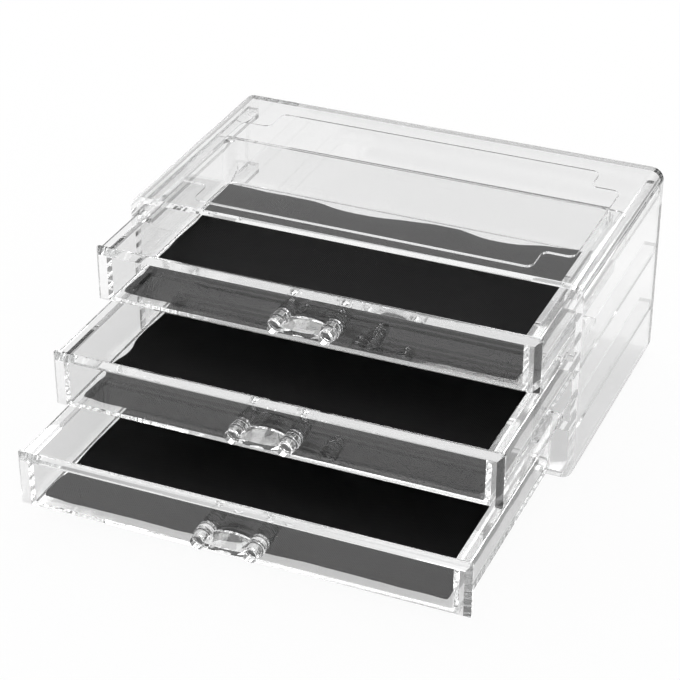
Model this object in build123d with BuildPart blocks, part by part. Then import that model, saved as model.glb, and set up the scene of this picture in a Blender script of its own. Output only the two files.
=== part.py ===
from build123d import *
import os

# A clear makeup chest: a one-piece case open at the front, and three drawers that stand open like stairs.
# Millimetres, +Z up, drawers open towards -Y. The origin is the centre of the case's underside.

# Drawers, from the lowest to the highest, and how far each stands short of fully open
drawer_levels = ["bottom", "middle", "top"]
drawer_hold_backs = [0.0, 38.5, 85.5]
drawer_pitch = 34.0

# Case
case_width = 240.0
case_depth = 135.0
case_wall = 3.2
case_corner_radius = 6.5
back_thickness = 2.5
glue_line = 0.05

# Thicker middle of the case's top, with notched corners, and the gate mark in one of its notches
pad_height = 1.3
pad_side_inset = 10.7
pad_front_inset = 10.6
pad_rear_inset = 14.0
pad_notch_width = 16.0
pad_notch_depth = 17.5
pad_corner_radius = 4.0
gate_pad_length = 17.0
gate_pad_width = 8.0
gate_pad_height = 0.6
gate_pad_side_inset = 9.4
gate_pad_rear_inset = 23.3
gate_mark_radius = 2.6
gate_mark_height = 1.3
gate_mark_side_inset = 11.5
gate_mark_rear_inset = 20.2

# Bevelled drawer fronts
panel_height = 29.6
panel_edge = 1.1
panel_bevel_width = 2.7
panel_bevel_depth = 3.3
panel_corner_radius = 1.0
panel_side_gap = 1.8
panel_floor_gap = 3.0
panel_top_gap = 2.5

# Trays, carried by a rim along each side
tray_wall = 2.8
tray_floor = 2.4
tray_lift = 0.8
tray_corner_radius = 5.0
tray_floor_fillet = 1.0
tray_side_gap = 1.3
tray_rear_gap = 0.5
rim_thickness = 2.2
rim_drop = 0.4
rim_overlap = 2.3
rim_corner_radius = 1.0

# Runners on the case's side walls
runner_width = 6.3
runner_height = 5.5
runner_front_gap = 0.3
runner_clearance = 0.2
# The length of rim that still rests on the runners when a drawer is fully open
rim_grip = 2.5

# Handles: two stepped posts with a crowned web between them
post_spacing = 26.6
post_radius = 3.75
collar_radius = 4.5
post_reach = 12.0
base_ring_length = 1.4
groove_length = 1.2
groove_radius = 3.9
collar_length = 3.8
pin_radius = 2.0
pin_clearance = 0.05
post_edge_chamfer = 0.3
post_edge_angle = 45.0
web_thickness = 2.6
web_crown = 1.5
web_rear_gap = 1.0
web_front_inset = 0.6
web_front_bow = 1.6

# Loose mesh mats on the drawer floors
liner_thickness = 1.2
liner_left_gap = 2.0
liner_right_gap = 4.4
liner_front_gap = 5.0
liner_rear_gap = 4.5
liner_corner_radius = 1.5

# Sizes that follow from the values above
drawer_stack = drawer_pitch * (len(drawer_levels) - 1) + panel_height
case_height = 2 * case_wall + panel_floor_gap + drawer_stack + panel_top_gap
case_front = -case_depth / 2
inner_half_width = case_width / 2 - case_wall
ceiling = case_height - case_wall
back_face = case_depth / 2 - back_thickness
panel_half_width = inner_half_width - panel_side_gap
panel_thickness = panel_edge + panel_bevel_depth
runner_inner = inner_half_width - runner_width
tray_half_width = runner_inner - tray_side_gap
tray_inside = tray_half_width - tray_wall
rim_half_width = runner_inner + rim_overlap
rim_underside = panel_height - rim_drop - rim_thickness
runner_top = rim_underside - runner_clearance
# The fronts' backs stop just short of the runners' ends when the drawers are shut
shut_panel_back = case_front - runner_front_gap
tray_length = back_face - tray_rear_gap - shut_panel_back - glue_line

# Where each drawer stands: the underside of its front, and the back of its front
panel_bottoms = [case_wall + panel_floor_gap + drawer_pitch * i for i in range(len(drawer_levels))]
open_panel_back = case_front + rim_grip - tray_length - glue_line
panel_backs = [open_panel_back + hold_back for hold_back in drawer_hold_backs]

os.makedirs("parts", exist_ok=True)


def finish(piece, label):
    """Name a finished piece and write it to its own file."""
    piece.part.label = label
    export_step(piece.part, f"parts/{label}.step")


# Case shell: top, sides and base in one band, with the pad and the gate mark under its top
with BuildPart() as case_shell:
    with BuildSketch(Plane.XZ.offset(-case_depth / 2)):
        with Locations((0, case_height / 2)):
            RectangleRounded(case_width, case_height, case_corner_radius)
            RectangleRounded(
                2 * inner_half_width,
                case_height - 2 * case_wall,
                case_corner_radius - case_wall,
                mode=Mode.SUBTRACT,
            )
    extrude(amount=case_depth)
    pad_half_width = inner_half_width - pad_side_inset
    pad_front = case_front + pad_front_inset
    pad_rear = case_depth / 2 - pad_rear_inset
    with BuildSketch(Plane.XY.offset(ceiling - pad_height)) as pad:
        with Locations((0, (pad_front + pad_rear) / 2)):
            Rectangle(2 * pad_half_width, pad_rear - pad_front - 2 * pad_notch_depth)
            Rectangle(2 * (pad_half_width - pad_notch_width), pad_rear - pad_front)
        fillet(pad.vertices(), pad_corner_radius)
    extrude(amount=pad_height)
    gate_pad_place = (gate_pad_side_inset - inner_half_width, case_depth / 2 - gate_pad_rear_inset)
    gate_mark_place = (gate_mark_side_inset - inner_half_width, case_depth / 2 - gate_mark_rear_inset)
    with BuildSketch(Plane.XY.offset(ceiling - gate_pad_height)):
        with Locations(gate_pad_place):
            SlotOverall(gate_pad_length, gate_pad_width, rotation=90)
    extrude(amount=gate_pad_height)
    with BuildSketch(Plane.XY.offset(ceiling - gate_mark_height)):
        with Locations(gate_mark_place):
            Circle(gate_mark_radius)
    extrude(amount=gate_mark_height)
finish(case_shell, "case_shell")

# Case back: a panel bonded inside the rear end of the band
with BuildPart() as case_back:
    with BuildSketch(Plane.XZ.offset(-case_depth / 2)):
        with Locations((0, case_height / 2)):
            RectangleRounded(
                2 * (inner_half_width - glue_line),
                case_height - 2 * (case_wall + glue_line),
                case_corner_radius - case_wall - glue_line,
            )
    extrude(amount=back_thickness)
finish(case_back, "case_back")

# Runners: one strip on each side wall for each drawer, from the case's front edge to its back panel
runner_center = inner_half_width - glue_line - runner_width / 2
for side, side_sign in (("left", -1), ("right", 1)):
    for level, panel_bottom in zip(drawer_levels, panel_bottoms):
        with BuildPart() as runner:
            with BuildSketch(Plane.XZ.offset(glue_line - back_face)):
                with Locations((side_sign * runner_center, panel_bottom + runner_top - runner_height / 2)):
                    Rectangle(runner_width, runner_height)
            extrude(amount=back_face - glue_line - case_front)
        finish(runner, f"runner_{side}_{level}")


def make_tray(panel_bottom, panel_back):
    """A drawer tray: floor, sides and back with a rim along each side, open at the front."""
    tray_front = panel_back + glue_line
    tray_middle = tray_front + tray_length / 2
    floor_top = panel_bottom + tray_lift + tray_floor
    tray_top = panel_bottom + panel_height - rim_drop
    with BuildPart() as tray:
        with BuildSketch(Plane.XY.offset(panel_bottom + tray_lift)) as outline:
            with Locations((0, tray_middle)):
                Rectangle(2 * tray_half_width, tray_length)
            fillet(outline.vertices().group_by(Axis.Y)[-1], tray_corner_radius + tray_wall)
        extrude(amount=panel_height - rim_drop - tray_lift)
        with BuildSketch(Plane.XY.offset(panel_bottom + rim_underside)) as rims:
            with Locations((0, tray_middle)):
                Rectangle(2 * rim_half_width, tray_length)
            fillet(rims.vertices().group_by(Axis.Y)[-1], rim_corner_radius)
        extrude(amount=rim_thickness)
        with BuildSketch(Plane.XY.offset(floor_top)) as cavity:
            with Locations((0, tray_middle - tray_wall / 2)):
                Rectangle(2 * tray_inside, tray_length - tray_wall)
            fillet(cavity.vertices().group_by(Axis.Y)[-1], tray_corner_radius)
        extrude(amount=tray_top - floor_top, mode=Mode.SUBTRACT)
        floor_edges = tray.edges().filter_by_position(Axis.Z, floor_top, floor_top)
        fillet(floor_edges.group_by(Axis.Y)[1:], tray_floor_fillet)
    return tray


def make_panel(panel_bottom, panel_back):
    """A drawer front: a square-edged back, four bevels that slope in to the front face, and two pin holes."""
    middle = panel_bottom + panel_height / 2
    with BuildPart() as panel:
        with BuildSketch(Plane.XZ.offset(-panel_back)):
            with Locations((0, middle)):
                Rectangle(2 * panel_half_width, panel_height)
        extrude(amount=panel_thickness)
        front_face = panel.faces().sort_by(Axis.Y)[0]
        chamfer(front_face.edges(), panel_bevel_width, panel_bevel_depth, reference=front_face)
        with BuildSketch(Plane.XZ.offset(-panel_back)):
            with Locations((-post_spacing / 2, middle), (post_spacing / 2, middle)):
                Circle(pin_radius + pin_clearance)
        extrude(amount=panel_thickness, mode=Mode.SUBTRACT)
        fillet(panel.edges().filter_by(Axis.Y).filter_by(GeomType.LINE), panel_corner_radius)
    return panel


def draw_web_profile(crown):
    """One end of the web: parallel top and underside that arch between the posts by the crown."""
    end = post_spacing / 2
    root = end - collar_radius
    for side in (web_thickness / 2, -web_thickness / 2):
        Line((-end, side), (-root, side))
        if crown:
            ThreePointArc((-root, side), (0, side + crown), (root, side))
        else:
            Line((-root, side), (root, side))
        Line((root, side), (end, side))
    Line((-end, -web_thickness / 2), (-end, web_thickness / 2))
    Line((end, -web_thickness / 2), (end, web_thickness / 2))


def make_handle(panel_bottom, panel_back):
    """A handle: two stepped posts with pins through the drawer front, and a web that bows up and forwards."""
    middle = panel_bottom + panel_height / 2
    panel_face = panel_back - panel_thickness
    web_rear = panel_face - web_rear_gap
    web_front = panel_face - post_reach + web_front_inset
    web_tip = web_front - web_front_bow
    front_length = post_reach - base_ring_length - groove_length - collar_length
    # From the panel's back to the post's tip: radius, length and taper in degrees
    post_sections = [
        (pin_radius, panel_thickness, 0),
        (collar_radius, base_ring_length, 0),
        (groove_radius, groove_length, 0),
        (collar_radius, collar_length, 0),
        (post_radius, front_length - post_edge_chamfer, 0),
        (post_radius, post_edge_chamfer, post_edge_angle),
    ]
    with BuildPart() as handle:
        for end_plane, crown in ((web_rear, web_crown), (web_tip, 0)):
            with BuildSketch(Plane((0, end_plane, middle), x_dir=(1, 0, 0), z_dir=(0, -1, 0))):
                with BuildLine():
                    draw_web_profile(crown)
                make_face()
        loft()
        with BuildSketch(Plane.XY.offset(middle - web_thickness)):
            with BuildLine():
                end = post_spacing / 2
                Polyline((-end, web_front), (-end, web_rear), (end, web_rear), (end, web_front))
                ThreePointArc((-end, web_front), (0, web_tip), (end, web_front))
            make_face()
        extrude(amount=2 * web_thickness + web_crown, mode=Mode.INTERSECT)
        section_back = panel_back
        for radius, length, taper in post_sections:
            with BuildSketch(Plane.XZ.offset(-section_back)):
                with Locations((-post_spacing / 2, middle), (post_spacing / 2, middle)):
                    Circle(radius)
            extrude(amount=length, taper=taper)
            section_back -= length
    return handle


def make_liner(panel_bottom, panel_back):
    """A loose mesh mat that lies on the tray's floor, a little short of its walls."""
    left = liner_left_gap - tray_inside
    right = tray_inside - liner_right_gap
    front = panel_back + liner_front_gap
    rear = panel_back + glue_line + tray_length - tray_wall - liner_rear_gap
    with BuildPart() as liner:
        with BuildSketch(Plane.XY.offset(panel_bottom + tray_lift + tray_floor)):
            with Locations(((left + right) / 2, (front + rear) / 2)):
                RectangleRounded(right - left, rear - front, liner_corner_radius)
        extrude(amount=liner_thickness)
    return liner


# Drawers: each is a tray with its front, handle and mat
for level, panel_bottom, panel_back in zip(drawer_levels, panel_bottoms, panel_backs):
    finish(make_tray(panel_bottom, panel_back), f"tray_{level}")
    finish(make_panel(panel_bottom, panel_back), f"front_panel_{level}")
    finish(make_handle(panel_bottom, panel_back), f"handle_{level}")
    finish(make_liner(panel_bottom, panel_back), f"liner_{level}")
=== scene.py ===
import math

import bpy
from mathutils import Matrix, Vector


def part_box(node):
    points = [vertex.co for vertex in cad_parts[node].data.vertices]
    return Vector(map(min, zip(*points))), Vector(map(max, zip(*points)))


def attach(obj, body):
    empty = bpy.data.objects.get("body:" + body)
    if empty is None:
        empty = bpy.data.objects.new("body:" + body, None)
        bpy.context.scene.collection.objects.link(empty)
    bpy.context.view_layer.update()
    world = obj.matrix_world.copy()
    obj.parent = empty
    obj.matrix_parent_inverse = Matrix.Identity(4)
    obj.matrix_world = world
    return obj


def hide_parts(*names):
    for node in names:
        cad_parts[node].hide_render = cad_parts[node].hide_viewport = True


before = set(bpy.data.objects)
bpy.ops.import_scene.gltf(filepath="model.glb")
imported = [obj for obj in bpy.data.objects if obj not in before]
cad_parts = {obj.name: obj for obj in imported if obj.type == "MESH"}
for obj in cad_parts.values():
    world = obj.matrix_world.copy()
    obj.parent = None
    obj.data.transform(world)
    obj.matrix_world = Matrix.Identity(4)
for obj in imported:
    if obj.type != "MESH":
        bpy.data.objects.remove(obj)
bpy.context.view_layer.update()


# Camera. It looks down at the chest from in front of its right corner, through a long lens,
# at the place and angle that the straight edges in the photograph give.
camera_azimuth = math.radians(23.18)
camera_elevation = math.radians(30.65)
camera_distance = 1.10546
camera_target = Vector((-0.00544, -0.06579, 0.050))
camera_data = bpy.data.cameras.new("camera")
camera_data.sensor_width = 36.0
camera_data.lens = 116.56
camera = bpy.data.objects.new("camera", camera_data)
bpy.context.scene.collection.objects.link(camera)
back = Vector((
    math.sin(camera_azimuth) * math.cos(camera_elevation),
    -math.cos(camera_azimuth) * math.cos(camera_elevation),
    math.sin(camera_elevation),
))
camera.location = camera_target + camera_distance * back
camera.rotation_euler = back.to_track_quat("Z", "Y").to_euler()
bpy.context.scene.camera = camera


# Studio. The chest stands on white paper that sweeps up behind it, in a room with a white ceiling and dark
# screens at the sides, and soft boxes light it. Clear plastic shows only what stands round it: the ceiling
# and the boxes make its bevels and handles white, and the screens draw its edges.
def new_node(tree, kind, **settings):
    """A node of that kind in the tree, with its properties set."""
    node = tree.nodes.new(kind)
    for name, value in settings.items():
        setattr(node, name, value)
    return node


def calc(tree, operation, *values):
    """A Math node's result, from numbers or other nodes' outputs."""
    node = new_node(tree, "ShaderNodeMath", operation=operation)
    for socket, value in zip(node.inputs, values):
        if isinstance(value, (int, float)):
            socket.default_value = value
        else:
            tree.links.new(value, socket)
    return node.outputs[0]


def grey_ramp(tree, factor, stops):
    """A ramp's colour by a factor, from stops given as places and grey values."""
    ramp = new_node(tree, "ShaderNodeValToRGB")
    elements = ramp.color_ramp.elements
    while len(elements) < len(stops):
        elements.new(0.5)
    for element, (place, value) in zip(elements, stops):
        element.position = place
        element.color = (value, value, value, 1.0)
    tree.links.new(factor, ramp.inputs["Fac"])
    return ramp.outputs["Color"]


def seen_by(tree):
    """Two outputs: 1 for the camera's own rays, and 1 for those in a reflection or through plastic."""
    path = new_node(tree, "ShaderNodeLightPath")
    through = calc(tree, "MAXIMUM", path.outputs["Is Glossy Ray"],
                   path.outputs["Is Transmission Ray"])
    return path.outputs["Is Camera Ray"], through


def along_sweep(tree, x, y):
    """How far a place or direction lies into the sweep of paper, which faces the camera, and across it."""
    across = math.sin(camera_azimuth)
    along = math.cos(camera_azimuth)
    inward = calc(tree, "MULTIPLY_ADD", x, -across, calc(tree, "MULTIPLY", y, along))
    sideways = calc(tree, "MULTIPLY_ADD", x, along, calc(tree, "MULTIPLY", y, across))
    return inward, sideways


def eased(tree, value, start, end):
    """0 up to the start and 1 from the end, eased between."""
    node = new_node(tree, "ShaderNodeMapRange", interpolation_type="SMOOTHSTEP")
    node.inputs["From Min"].default_value = start
    node.inputs["From Max"].default_value = end
    tree.links.new(value, node.inputs["Value"])
    return node.outputs[0]


scene = bpy.context.scene
scene.view_settings.view_transform = "Standard"
world = bpy.data.worlds.new("studio")
scene.world = world
world.use_nodes = True
tree = world.node_tree
tree.nodes.clear()
direction = new_node(tree, "ShaderNodeTexCoord")
split = new_node(tree, "ShaderNodeSeparateXYZ")
tree.links.new(direction.outputs["Generated"], split.inputs[0])
inward, sideways = along_sweep(tree, split.outputs["X"], split.outputs["Y"])
sweep_blend = 0.25
screens_start = 0.5
screens_full = 0.8
room_light = 0.65
behind = eased(tree, inward, -sweep_blend, sweep_blend)
beside = eased(tree, calc(tree, "ABSOLUTE", sideways), screens_start, screens_full)
# How bright the room is by a direction's height, 0 at the horizon and 1 overhead
front_room = [(0.0, 0.7), (0.1, 0.05), (0.38, 0.05), (0.45, 1.0), (1.0, 1.0)]
rear_room = [(0.0, 0.8), (0.1, 0.55), (0.55, 0.55), (0.7, 1.0), (1.0, 1.0)]
side_screens = [(0.0, 0.4), (0.04, 0.1), (0.5, 0.03), (0.9, 0.3), (1.0, 0.8)]
room = grey_ramp(tree, split.outputs["Z"], front_room)
for share, stops in ((behind, rear_room), (beside, side_screens)):
    blend = new_node(tree, "ShaderNodeMix", data_type="RGBA")
    tree.links.new(share, blend.inputs["Factor"])
    tree.links.new(room, blend.inputs[6])
    tree.links.new(grey_ramp(tree, split.outputs["Z"], stops), blend.inputs[7])
    room = blend.outputs[2]
shown = new_node(tree, "ShaderNodeBackground")
light = new_node(tree, "ShaderNodeBackground")
light.inputs["Strength"].default_value = room_light
choose = new_node(tree, "ShaderNodeMixShader")
output = new_node(tree, "ShaderNodeOutputWorld")
direct, through = seen_by(tree)
tree.links.new(calc(tree, "MAXIMUM", room, direct), shown.inputs["Color"])
tree.links.new(calc(tree, "MAXIMUM", direct, through), choose.inputs["Fac"])
tree.links.new(light.outputs[0], choose.inputs[1])
tree.links.new(shown.outputs[0], choose.inputs[2])
tree.links.new(choose.outputs[0], output.inputs["Surface"])

floor_size = 3.0
floor_drop = 0.0002
floor_glow_direct = 0.95
floor_glow_through = 0.95
floor_glow_under = 0.55
# The chest shades the paper under and round it, as seen through the plastic, out to these places
shade_front = -0.275
shade_rear = 0.16
shade_side = 0.205
shade_edge = 0.045
# Painted falloff of light: seen through the plastic, the paper dims farther out, to the sides, front and
# partly behind
painted_falloff_side = (0.17, 0.45)
painted_falloff_front = (0.6, 1.2)
painted_falloff_rear = (0.3, 0.6)
rear_share = 0.4
darkest = 0.8
floor_white = 0.98
mesh = bpy.data.meshes.new("floor")
half = floor_size / 2
mesh.from_pydata(
    [(x, y, -floor_drop) for x, y in ((-half, -half), (half, -half), (half, half), (-half, half))],
    [],
    [(0, 1, 2, 3)],
)
floor = bpy.data.objects.new("floor", mesh)
scene.collection.objects.link(floor)
paper = bpy.data.materials.new("floor_paper")
paper.use_nodes = True
tree = paper.node_tree
tree.nodes.clear()
diffuse = new_node(tree, "ShaderNodeBsdfDiffuse")
diffuse.inputs["Color"].default_value = (floor_white, floor_white, floor_white, 1.0)
glow = new_node(tree, "ShaderNodeEmission")
both = new_node(tree, "ShaderNodeMixShader")
direct, through = seen_by(tree)
place = new_node(tree, "ShaderNodeTexCoord")
split = new_node(tree, "ShaderNodeSeparateXYZ")
tree.links.new(place.outputs["Object"], split.inputs[0])
across = calc(tree, "ABSOLUTE", split.outputs["X"])
shade = calc(tree, "MINIMUM",
             eased(tree, split.outputs["Y"], shade_front, shade_front + shade_edge),
             eased(tree, split.outputs["Y"], shade_rear, shade_rear - shade_edge))
shade = calc(tree, "MINIMUM", shade, eased(tree, across, shade_side, shade_side - shade_edge))
shade_depth = floor_glow_under - floor_glow_through
seen_through = calc(tree, "MULTIPLY_ADD", shade, shade_depth, floor_glow_through)
share = calc(tree, "ADD", calc(tree, "MULTIPLY", direct, floor_glow_direct),
             calc(tree, "MULTIPLY", through, seen_through))
inward, sideways = along_sweep(tree, split.outputs["X"], split.outputs["Y"])
# Painted falloff of light: the paper's glow, as seen through the plastic, dims farther out
outside = calc(tree, "MAXIMUM", eased(tree, calc(tree, "ABSOLUTE", sideways), *painted_falloff_side),
               eased(tree, calc(tree, "MULTIPLY", inward, -1.0), *painted_falloff_front))
outside = calc(tree, "MAXIMUM", outside,
               calc(tree, "MULTIPLY", eased(tree, inward, *painted_falloff_rear), rear_share))
dimmed = calc(tree, "MULTIPLY", calc(tree, "MULTIPLY", outside, through), darkest)
tree.links.new(calc(tree, "SUBTRACT", 1.0, dimmed), glow.inputs["Strength"])
output = new_node(tree, "ShaderNodeOutputMaterial")
tree.links.new(share, both.inputs["Fac"])
tree.links.new(diffuse.outputs[0], both.inputs[1])
tree.links.new(glow.outputs[0], both.inputs[2])
tree.links.new(both.outputs[0], output.inputs["Surface"])
floor.data.materials.append(paper)


lamp_aim = Vector((0.0, -0.05, 0.05))


def soft_box(name, place, width, height, power):
    """A large lamp at that place, turned to the chest."""
    lamp = bpy.data.lights.new(name, "AREA")
    lamp.shape = "RECTANGLE"
    lamp.size = width
    lamp.size_y = height
    lamp.energy = power
    holder = bpy.data.objects.new(name, lamp)
    holder.location = place
    holder.rotation_euler = (Vector(place) - lamp_aim).to_track_quat("Z", "Y").to_euler()
    scene.collection.objects.link(holder)


soft_box("left_soft_box", (-0.9, -0.3, 0.7), 0.35, 0.5, 1.6)
soft_box("right_soft_box", (0.9, -0.5, 0.8), 0.35, 0.5, 1.4)
soft_box("top_soft_box", (0.0, 0.3, 1.2), 0.6, 0.3, 1.6)
soft_box("rear_strip", (0.4, 1.0, 0.85), 0.7, 0.12, 1.6)
soft_box("rear_soft_box", (-0.5, 1.05, 1.12), 1.7, 0.45, 7.0)
# Light runs far inside the clear walls before it leaves them
longest_path = 128
scene.cycles.max_bounces = longest_path
scene.cycles.transmission_bounces = longest_path
scene.cycles.glossy_bounces = longest_path
scene.cycles.transparent_max_bounces = longest_path
scene.cycles.caustics_reflective = True
scene.cycles.caustics_refractive = True


# Case. One moulded band makes its top, sides and base, and a panel cemented inside the band's rear end
# closes it. Like every clear piece here it is polystyrene, hard, glossy and colourless, with a faint flow
# ripple from the mould and the hair scratches of wiping.
levels = ("bottom", "middle", "top")


def mould_surface_group():
    """Roughness and height of a moulded clear surface, from its place on the piece."""
    scratch_turn = (0.3, 0.2, 0.7)
    scratch_stretch = (900.0, 40.0, 400.0)
    faint_scratch = 0.62
    deep_scratch = 0.8
    defaults = (("Ripple Scale", 18.0), ("Polish", 0.015), ("Haze", 0.03), ("Scratch Depth", 0.1))
    group = bpy.data.node_groups.new("mould_surface", "ShaderNodeTree")
    interface = group.interface
    interface.new_socket("Vector", in_out="INPUT", socket_type="NodeSocketVector")
    for name, value in defaults:
        socket = interface.new_socket(name, in_out="INPUT", socket_type="NodeSocketFloat")
        socket.default_value = value
    interface.new_socket("Roughness", in_out="OUTPUT", socket_type="NodeSocketFloat")
    interface.new_socket("Height", in_out="OUTPUT", socket_type="NodeSocketFloat")
    given = new_node(group, "NodeGroupInput")
    result = new_node(group, "NodeGroupOutput")
    ripple = new_node(group, "ShaderNodeTexNoise")
    ripple.inputs["Detail"].default_value = 1.0
    stretch = new_node(group, "ShaderNodeMapping")
    stretch.inputs["Rotation"].default_value = scratch_turn
    stretch.inputs["Scale"].default_value = scratch_stretch
    scratches = new_node(group, "ShaderNodeTexNoise")
    scratches.inputs["Scale"].default_value = 1.0
    scratches.inputs["Detail"].default_value = 3.0
    thin = new_node(group, "ShaderNodeMapRange")
    thin.inputs["From Min"].default_value = faint_scratch
    thin.inputs["From Max"].default_value = deep_scratch
    haze = new_node(group, "ShaderNodeMath", operation="MULTIPLY_ADD")
    scored = new_node(group, "ShaderNodeMath", operation="MULTIPLY")
    height = new_node(group, "ShaderNodeMath", operation="SUBTRACT")
    group.links.new(given.outputs["Vector"], ripple.inputs["Vector"])
    group.links.new(given.outputs["Ripple Scale"], ripple.inputs["Scale"])
    group.links.new(given.outputs["Vector"], stretch.inputs["Vector"])
    group.links.new(stretch.outputs[0], scratches.inputs["Vector"])
    group.links.new(scratches.outputs["Fac"], thin.inputs["Value"])
    group.links.new(thin.outputs[0], haze.inputs[0])
    group.links.new(given.outputs["Haze"], haze.inputs[1])
    group.links.new(given.outputs["Polish"], haze.inputs[2])
    group.links.new(thin.outputs[0], scored.inputs[0])
    group.links.new(given.outputs["Scratch Depth"], scored.inputs[1])
    group.links.new(ripple.outputs["Fac"], height.inputs[0])
    group.links.new(scored.outputs[0], height.inputs[1])
    group.links.new(haze.outputs[0], result.inputs["Roughness"])
    group.links.new(height.outputs[0], result.inputs["Height"])
    return group


mould_surface = mould_surface_group()


def bonded_box_group():
    """1 inside a box between two corners, and its mirror image in x, where a face is cemented."""
    group = bpy.data.node_groups.new("bonded_box", "ShaderNodeTree")
    for name in ("Vector", "Low", "High"):
        group.interface.new_socket(name, in_out="INPUT", socket_type="NodeSocketVector")
    group.interface.new_socket("Mask", in_out="OUTPUT", socket_type="NodeSocketFloat")
    given = new_node(group, "NodeGroupInput")
    parts = new_node(group, "ShaderNodeSeparateXYZ")
    joined = new_node(group, "ShaderNodeCombineXYZ")
    group.links.new(given.outputs["Vector"], parts.inputs[0])
    group.links.new(calc(group, "ABSOLUTE", parts.outputs["X"]), joined.inputs["X"])
    group.links.new(parts.outputs["Y"], joined.inputs["Y"])
    group.links.new(parts.outputs["Z"], joined.inputs["Z"])
    above = new_node(group, "ShaderNodeVectorMath", operation="SUBTRACT")
    below = new_node(group, "ShaderNodeVectorMath", operation="SUBTRACT")
    depth = new_node(group, "ShaderNodeVectorMath", operation="MINIMUM")
    group.links.new(joined.outputs[0], above.inputs[0])
    group.links.new(given.outputs["Low"], above.inputs[1])
    group.links.new(given.outputs["High"], below.inputs[0])
    group.links.new(joined.outputs[0], below.inputs[1])
    group.links.new(above.outputs[0], depth.inputs[0])
    group.links.new(below.outputs[0], depth.inputs[1])
    least = new_node(group, "ShaderNodeSeparateXYZ")
    group.links.new(depth.outputs[0], least.inputs[0])
    shallow = calc(group, "MINIMUM", least.outputs["X"], calc(group, "MINIMUM", *least.outputs[1:3]))
    result = new_node(group, "NodeGroupOutput")
    group.links.new(calc(group, "GREATER_THAN", shallow, 0.0), result.inputs["Mask"])
    return group


def bonded_disc_group():
    """1 within a radius of two posts' axes, at x and -x, between two depths."""
    group = bpy.data.node_groups.new("bonded_disc", "ShaderNodeTree")
    group.interface.new_socket("Vector", in_out="INPUT", socket_type="NodeSocketVector")
    for name in ("Post X", "Post Z", "Radius", "Front", "Back"):
        group.interface.new_socket(name, in_out="INPUT", socket_type="NodeSocketFloat")
    group.interface.new_socket("Mask", in_out="OUTPUT", socket_type="NodeSocketFloat")
    given = new_node(group, "NodeGroupInput")
    parts = new_node(group, "ShaderNodeSeparateXYZ")
    group.links.new(given.outputs["Vector"], parts.inputs[0])
    across = calc(group, "SUBTRACT", calc(group, "ABSOLUTE", parts.outputs["X"]), given.outputs["Post X"])
    up = calc(group, "SUBTRACT", parts.outputs["Z"], given.outputs["Post Z"])
    distance = calc(group, "SQRT",
                    calc(group, "MULTIPLY_ADD", across, across, calc(group, "MULTIPLY", up, up)))
    near = calc(group, "LESS_THAN", distance, given.outputs["Radius"])
    behind = calc(group, "GREATER_THAN", parts.outputs["Y"], given.outputs["Front"])
    ahead = calc(group, "LESS_THAN", parts.outputs["Y"], given.outputs["Back"])
    result = new_node(group, "NodeGroupOutput")
    within = calc(group, "MULTIPLY", near, calc(group, "MULTIPLY", behind, ahead))
    group.links.new(within, result.inputs["Mask"])
    return group


bonded_box = bonded_box_group()
bonded_disc = bonded_disc_group()


refractive_index = 1.59
plastic_tint = (0.87, 0.88, 0.88, 1.0)
tint_density = 1.5


def clear_plastic(name, ripple_height, haze, bonded_boxes=(), bonded_discs=()):
    """Clear moulded plastic: the height of its flow ripple, its haze, and where cement hides its faces."""
    material = bpy.data.materials.new(name)
    material.use_nodes = True
    tree = material.node_tree
    principled = tree.nodes["Principled BSDF"]
    principled.inputs["Base Color"].default_value = (1.0, 1.0, 1.0, 1.0)
    principled.inputs["IOR"].default_value = refractive_index
    principled.inputs["Transmission Weight"].default_value = 1.0
    place = new_node(tree, "ShaderNodeTexCoord")
    surface = new_node(tree, "ShaderNodeGroup", node_tree=mould_surface)
    surface.inputs["Haze"].default_value = haze
    bump = new_node(tree, "ShaderNodeBump")
    bump.inputs["Distance"].default_value = ripple_height
    absorb = new_node(tree, "ShaderNodeVolumeAbsorption")
    absorb.inputs["Color"].default_value = plastic_tint
    absorb.inputs["Density"].default_value = tint_density
    tree.links.new(place.outputs["Object"], surface.inputs["Vector"])
    tree.links.new(surface.outputs["Roughness"], principled.inputs["Roughness"])
    tree.links.new(surface.outputs["Height"], bump.inputs["Height"])
    tree.links.new(bump.outputs[0], principled.inputs["Normal"])
    tree.links.new(absorb.outputs[0], tree.nodes["Material Output"].inputs["Volume"])
    hidden = 0.0
    for low, high in bonded_boxes:
        zone = new_node(tree, "ShaderNodeGroup", node_tree=bonded_box)
        zone.inputs["Low"].default_value = low
        zone.inputs["High"].default_value = high
        tree.links.new(place.outputs["Object"], zone.inputs["Vector"])
        hidden = calc(tree, "MAXIMUM", zone.outputs["Mask"], hidden)
    for disc in bonded_discs:
        zone = new_node(tree, "ShaderNodeGroup", node_tree=bonded_disc)
        for label, value in zip(("Post X", "Post Z", "Radius", "Front", "Back"), disc):
            zone.inputs[label].default_value = value
        tree.links.new(place.outputs["Object"], zone.inputs["Vector"])
        hidden = calc(tree, "MAXIMUM", zone.outputs["Mask"], hidden)
    if bonded_boxes or bonded_discs:
        tree.links.new(calc(tree, "SUBTRACT", 1.0, hidden), principled.inputs["Alpha"])
    return material


def finish_node(name, material):
    """Give a CAD node its material in place of the frame's plain one."""
    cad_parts[name].material_slots[0].material = material


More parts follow.
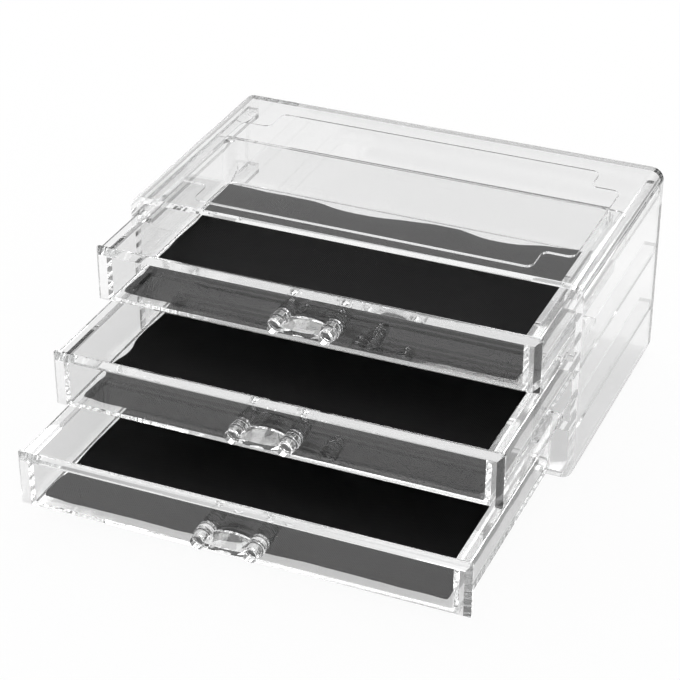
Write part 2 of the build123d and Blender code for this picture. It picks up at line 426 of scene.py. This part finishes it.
# A bonded zone reaches this far past the faces that it hides, and this far where it has no end
reach = 0.00002
past_end = 0.0001
endless = 1.0
moulding_ripple = 0.000005
moulding_haze = 0.02
back_low, back_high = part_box("case_back")
shell_joints = [(
    (-reach, back_low[1] - reach, back_low[2] - past_end),
    (back_high[0] + past_end, back_high[1] - reach, back_high[2] + past_end),
)]
for level in levels:
    low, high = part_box(f"runner_right_{level}")
    shell_joints.append((
        (high[0] - reach, low[1] + reach, low[2]),
        (high[0] + past_end, high[1], high[2]),
    ))
shell_plastic = clear_plastic("case_shell_plastic", moulding_ripple, moulding_haze, shell_joints)
finish_node("case_shell", shell_plastic)
back_edges = ((-reach, back_low[1] + reach, -endless), (endless, back_high[1] - reach, endless))
back_plastic = clear_plastic("case_back_plastic", moulding_ripple, moulding_haze, [back_edges])
finish_node("case_back", back_plastic)


# Runners. Three clear strips on each side wall of the case carry the drawers' rims. They are moulded on or
# cemented along their whole length, so nothing shows of the face between strip and wall.
wall_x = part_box("runner_right_top")[1][0]
runner_seat = ((wall_x - reach, -endless, -endless), (endless, endless, endless))
runner_plastic = clear_plastic("runner_plastic", moulding_ripple, moulding_haze, [runner_seat])
for side in ("left", "right"):
    for level in levels:
        finish_node(f"runner_{side}_{level}", runner_plastic)


# Trays. Each is one clear moulding, a floor with three walls and a rim that hangs on the runners. Its open
# front end is cemented to the drawer front.
for level in levels:
    tray_plastic = clear_plastic(f"tray_plastic_{level}", moulding_ripple, moulding_haze)
    finish_node(f"tray_{level}", tray_plastic)


# Drawer fronts. Thick clear plates with four polished bevels, cemented across the trays' open ends. The
# handles' pins are cemented in two holes.
panel_ripple = 0.000002
panel_haze = 0.005
post_x = 0.0133
pin_radius = 0.002
pin_play = 0.0001
for level in levels:
    low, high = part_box(f"front_panel_{level}")
    post_z = (low[2] + high[2]) / 2
    hole = (post_x, post_z, pin_radius + pin_play, low[1] - reach, high[1] + reach)
    panel_plastic = clear_plastic(f"panel_plastic_{level}", panel_ripple, panel_haze, (), [hole])
    finish_node(f"front_panel_{level}", panel_plastic)


# Handles. Small clear mouldings, two stepped posts and the web that bows out between them. Each post's pin
# goes through the drawer front and is cemented there.
handle_haze = 0.015
seat_radius = 0.009
for level in levels:
    low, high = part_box(f"front_panel_{level}")
    post_z = (low[2] + high[2]) / 2
    seat = (post_x, post_z, seat_radius, low[1] - reach, high[1] - reach)
    handle_plastic = clear_plastic(f"handle_plastic_{level}", moulding_ripple, handle_haze, (), [seat])
    finish_node(f"handle_{level}", handle_plastic)


# Mats. Three pieces of black twill mesh, cut to the drawers and laid loose on their floors. Nothing holds
# them: the cut edges curl and wave a little, most along the back of the top one.
mat_width = 0.2064
mat_length = 0.12
mat_thickness = 0.0007
mat_corner_radius = 0.001
mat_cell = 0.0015
mat_curl_reach = 0.03
mat_ripple_height = 0.0003
first_seed = 3.0
# The curves that hold the edges' shapes go up to 10 mm
curve_top_mm = 10
curve_top = 0.01


def edge_heights(tree, place, heights):
    """How high a mat's edge stands along its run: place goes from 0 to 1, heights are in millimetres."""
    profile = new_node(tree, "ShaderNodeFloatCurve")
    curve = profile.mapping.curves[0]
    curve.points[0].location = (0.0, heights[0] / curve_top_mm)
    curve.points[1].location = (1.0, heights[-1] / curve_top_mm)
    for index, height in enumerate(heights[1:-1], start=1):
        curve.points.new(index / (len(heights) - 1), height / curve_top_mm)
    profile.mapping.update()
    tree.links.new(place, profile.inputs["Value"])
    return calc(tree, "MULTIPLY", profile.outputs[0], curve_top)


def mat_tree(name, rear_heights, rear_pulls, left_heights, left_pulls, front_heights):
    """A flat cloth of the given size with rounded corners, whose edges lift and are drawn in as given."""
    ripple_scale = 22.0
    cut_scale = 40.0
    cut_wander = 0.0024
    short_curl = 0.5
    long_pull = 1.5
    tree = bpy.data.node_groups.new(name, "GeometryNodeTree")
    tree.is_modifier = True
    interface = tree.interface
    for label, kind in (
        ("Width", "NodeSocketFloat"),
        ("Length", "NodeSocketFloat"),
        ("Corner Radius", "NodeSocketFloat"),
        ("Cell", "NodeSocketFloat"),
        ("Curl Reach", "NodeSocketFloat"),
        ("Ripple Height", "NodeSocketFloat"),
        ("Seed", "NodeSocketFloat"),
        ("Place", "NodeSocketVector"),
        ("Cloth", "NodeSocketMaterial"),
    ):
        interface.new_socket(label, in_out="INPUT", socket_type=kind)
    interface.new_socket("Geometry", in_out="OUTPUT", socket_type="NodeSocketGeometry")
    given = new_node(tree, "NodeGroupInput").outputs
    grid = new_node(tree, "GeometryNodeMeshGrid")
    tree.links.new(given["Width"], grid.inputs["Size X"])
    tree.links.new(given["Length"], grid.inputs["Size Y"])
    for size, count in (("Width", "Vertices X"), ("Length", "Vertices Y")):
        tree.links.new(calc(tree, "DIVIDE", given[size], given["Cell"]), grid.inputs[count])
    split = new_node(tree, "ShaderNodeSeparateXYZ")
    tree.links.new(new_node(tree, "GeometryNodeInputPosition").outputs[0], split.inputs[0])
    x, y = split.outputs["X"], split.outputs["Y"]
    half_width = calc(tree, "MULTIPLY", given["Width"], 0.5)
    half_length = calc(tree, "MULTIPLY", given["Length"], 0.5)
    radius = given["Corner Radius"]

    def past_corner(place, half):
        """0 along the straight edges, and from 0 to 1 across a corner."""
        start = calc(tree, "SUBTRACT", half, radius)
        beyond = calc(tree, "SUBTRACT", calc(tree, "ABSOLUTE", place), start)
        return start, calc(tree, "DIVIDE", calc(tree, "MAXIMUM", beyond, 0.0), radius)

    def rounded(place, start, across, other):
        """The place moved in, so that the square corner becomes a quarter circle."""
        squared = calc(tree, "POWER", other, 2.0)
        shrink = calc(tree, "SQRT", calc(tree, "MULTIPLY_ADD", squared, -0.5, 1.0))
        out = calc(tree, "MULTIPLY_ADD", calc(tree, "MULTIPLY", across, shrink), radius, start)
        inside = calc(tree, "MINIMUM", calc(tree, "ABSOLUTE", place), out)
        return calc(tree, "MULTIPLY", calc(tree, "SIGN", place), inside)

    start_x, across_x = past_corner(x, half_width)
    start_y, across_y = past_corner(y, half_length)
    flat_x = rounded(x, start_x, across_x, across_y)
    flat_y = rounded(y, start_y, across_y, across_x)
    run_x = calc(tree, "ADD", calc(tree, "DIVIDE", x, given["Width"]), 0.5)
    run_y = calc(tree, "ADD", calc(tree, "DIVIDE", y, given["Length"]), 0.5)

    def fades(distance, end):
        """1 at the edge, easing to 0 at the end of the curl."""
        ease = new_node(tree, "ShaderNodeMapRange", interpolation_type="SMOOTHERSTEP")
        ease.inputs["To Min"].default_value = 1.0
        ease.inputs["To Max"].default_value = 0.0
        tree.links.new(distance, ease.inputs["Value"])
        tree.links.new(end, ease.inputs["From Max"])
        return ease.outputs[0]

    curl = given["Curl Reach"]
    from_rear = calc(tree, "SUBTRACT", half_length, y)
    from_left = calc(tree, "ADD", half_width, x)
    from_front = calc(tree, "ADD", half_length, y)
    rear = calc(tree, "MULTIPLY", edge_heights(tree, run_x, rear_heights), fades(from_rear, curl))
    left = calc(tree, "MULTIPLY", edge_heights(tree, run_y, left_heights),
                fades(from_left, calc(tree, "MULTIPLY", curl, short_curl)))
    front = calc(tree, "MULTIPLY", edge_heights(tree, run_x, front_heights),
                 fades(from_front, calc(tree, "MULTIPLY", curl, short_curl)))
    ripple = new_node(tree, "ShaderNodeTexNoise", noise_dimensions="4D")
    ripple.inputs["Scale"].default_value = ripple_scale
    ripple.inputs["Detail"].default_value = 1.0
    tree.links.new(given["Seed"], ripple.inputs["W"])
    bumps = calc(tree, "MULTIPLY", ripple.outputs["Fac"], given["Ripple Height"])
    height = calc(tree, "ADD", calc(tree, "ADD", rear, left), calc(tree, "ADD", front, bumps))
    cut = new_node(tree, "ShaderNodeTexNoise", noise_dimensions="4D")
    cut.inputs["Scale"].default_value = cut_scale
    tree.links.new(given["Seed"], cut.inputs["W"])
    wander = calc(tree, "MULTIPLY", calc(tree, "SUBTRACT", cut.outputs["Fac"], 0.5), cut_wander)
    rear_pull = calc(tree, "MULTIPLY", edge_heights(tree, run_x, rear_pulls),
                     fades(from_rear, calc(tree, "MULTIPLY", curl, long_pull)))
    left_pull = calc(tree, "MULTIPLY", edge_heights(tree, run_y, left_pulls), fades(from_left, curl))
    moved = new_node(tree, "ShaderNodeCombineXYZ")
    tree.links.new(calc(tree, "ADD", calc(tree, "ADD", flat_x, wander), left_pull), moved.inputs["X"])
    tree.links.new(calc(tree, "SUBTRACT", calc(tree, "ADD", flat_y, wander), rear_pull), moved.inputs["Y"])
    tree.links.new(height, moved.inputs["Z"])
    lie = new_node(tree, "GeometryNodeSetPosition")
    tree.links.new(moved.outputs[0], lie.inputs["Position"])
    threads = new_node(tree, "GeometryNodeStoreNamedAttribute", data_type="FLOAT2", domain="CORNER")
    threads.inputs["Name"].default_value = "threads"
    tree.links.new(grid.outputs["Mesh"], threads.inputs["Geometry"])
    tree.links.new(new_node(tree, "GeometryNodeInputPosition").outputs[0], threads.inputs["Value"])
    tree.links.new(threads.outputs[0], lie.inputs["Geometry"])
    carry = new_node(tree, "GeometryNodeTransform")
    tree.links.new(given["Place"], carry.inputs["Translation"])
    tree.links.new(lie.outputs[0], carry.inputs["Geometry"])
    smooth = new_node(tree, "GeometryNodeSetShadeSmooth")
    real = new_node(tree, "GeometryNodeRealizeInstances")
    dressed = new_node(tree, "GeometryNodeSetMaterial")
    result = new_node(tree, "NodeGroupOutput")
    tree.links.new(carry.outputs[0], smooth.inputs["Geometry"])
    tree.links.new(smooth.outputs[0], real.inputs[0])
    tree.links.new(real.outputs[0], dressed.inputs["Geometry"])
    tree.links.new(given["Cloth"], dressed.inputs["Material"])
    tree.links.new(dressed.outputs[0], result.inputs[0])
    return tree


def set_input(modifier, label, value):
    """A modifier's input, set by its socket's identifier."""
    for item in modifier.node_group.interface.items_tree:
        if item.item_type == "SOCKET" and item.in_out == "INPUT" and item.name == label:
            modifier[item.identifier] = value


def twill_mesh():
    """Black twill: diagonal ribs of thread with fine gaps between, dull, with a faint sheen."""
    rib_scale = 480.0
    cross_scale = 900.0
    cross_share = 0.3
    dye_scale = 30.0
    dye_fade = 0.3
    rib_height = 0.00015
    material = bpy.data.materials.new("black_mesh")
    material.use_nodes = True
    tree = material.node_tree
    principled = tree.nodes["Principled BSDF"]
    principled.inputs["Roughness"].default_value = 0.75
    principled.inputs["Specular IOR Level"].default_value = 0.2
    principled.inputs["Sheen Weight"].default_value = 0.03
    principled.inputs["Sheen Roughness"].default_value = 0.5
    threads = new_node(tree, "ShaderNodeAttribute", attribute_name="threads")
    ribs = new_node(tree, "ShaderNodeTexWave", bands_direction="DIAGONAL")
    ribs.inputs["Scale"].default_value = rib_scale
    cross = new_node(tree, "ShaderNodeTexWave", bands_direction="X")
    cross.inputs["Scale"].default_value = cross_scale
    tree.links.new(threads.outputs["Vector"], ribs.inputs["Vector"])
    tree.links.new(threads.outputs["Vector"], cross.inputs["Vector"])
    weave = calc(tree, "MULTIPLY_ADD", cross.outputs["Fac"], cross_share,
                 calc(tree, "MULTIPLY", ribs.outputs["Fac"], 1.0 - cross_share))
    dye = new_node(tree, "ShaderNodeTexNoise")
    dye.inputs["Scale"].default_value = dye_scale
    tree.links.new(threads.outputs["Vector"], dye.inputs["Vector"])
    faded = calc(tree, "MULTIPLY_ADD", calc(tree, "SUBTRACT", dye.outputs["Fac"], 0.5), dye_fade, weave)
    black = grey_ramp(tree, faded, [(0.1, 0.0025), (0.9, 0.0125)])
    tree.links.new(black, principled.inputs["Base Color"])
    bump = new_node(tree, "ShaderNodeBump")
    bump.inputs["Distance"].default_value = rib_height
    tree.links.new(weave, bump.inputs["Height"])
    tree.links.new(bump.outputs[0], principled.inputs["Normal"])
    return material


cloth = twill_mesh()
# In millimetres: how high the back edge stands and how far it is drawn in, from left to right, then the
# same of the left edge from front to back, and how high the front edge stands from left to right
mat_edges = {
    "bottom": (
        (1.0, 0.2, 1.2, 0.1, 0.8),
        (0.5, 1.5, 0.4, 2.0, 0.6),
        (0.2, 2.6, 1.2, 0.2, 0.0, 0.4, 0.1, 0.0, 0.3, 0.2, 0.0, 0.3, 0.2),
        (0.4, 1.2, 0.2, 0.0, 0.2, 0.6, 0.8, 0.3, 0.0),
        (0.2, 0.2, 0.0, 0.3, 0.0),
    ),
    "middle": (
        (0.6, 1.4, 0.1, 0.9, 0.3),
        (1.8, 0.3, 1.4, 0.5, 1.0),
        (0.2, 2.9, 1.4, 0.3, 0.1, 0.0, 0.2, 0.3, 0.0, 0.1, 0.2, 0.1, 0.2),
        (1.6, 4.0, 0.4, 2.0, 0.0, 0.2, 0.8, 0.2, 0.4),
        (0.2, 0.0, 0.3, 0.0, 0.2),
    ),
    "top": (
        (0.3, 0.3, 0.5, 0.2, 0.8, 1.6, 0.3, 1.2, 2.8),
        (0.0, 0.2, 1.4, 4.5, 3.0, 2.2, 5.0, 1.2, 0.1),
        (0.2, 1.8, 0.8, 0.2, 0.1, 0.0, 0.2, 0.2, 0.0, 0.1, 0.3, 0.1, 0.2),
        (0.8, 2.0, 0.3, 0.6, 0.0, 0.4, 0.1, 0.5, 0.2),
        (0.1, 0.2, 0.0, 0.2, 0.1),
    ),
}
for order, level in enumerate(levels):
    low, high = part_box(f"liner_{level}")
    mesh = bpy.data.meshes.new(f"mat_{level}")
    mat = bpy.data.objects.new(f"mat_{level}", mesh)
    scene.collection.objects.link(mat)
    lay = mat.modifiers.new("lay", "NODES")
    lay.node_group = mat_tree(f"mat_{level}", *mat_edges[level])
    set_input(lay, "Width", mat_width)
    set_input(lay, "Length", mat_length)
    set_input(lay, "Corner Radius", mat_corner_radius)
    set_input(lay, "Cell", mat_cell)
    set_input(lay, "Curl Reach", mat_curl_reach)
    set_input(lay, "Ripple Height", mat_ripple_height)
    set_input(lay, "Seed", first_seed + order)
    centre = ((low[0] + high[0]) / 2, (low[1] + high[1]) / 2, low[2] + mat_thickness)
    set_input(lay, "Place", centre)
    set_input(lay, "Cloth", cloth)
    thick = mat.modifiers.new("thick", "SOLIDIFY")
    thick.thickness = mat_thickness
    thick.offset = -1.0
    graph = bpy.context.evaluated_depsgraph_get()
    mat.data = bpy.data.meshes.new_from_object(mat.evaluated_get(graph))
    mat.data.name = f"mat_{level}"
    mat.modifiers.clear()
    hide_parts(f"liner_{level}")
    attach(mat, f"drawer_{level}")
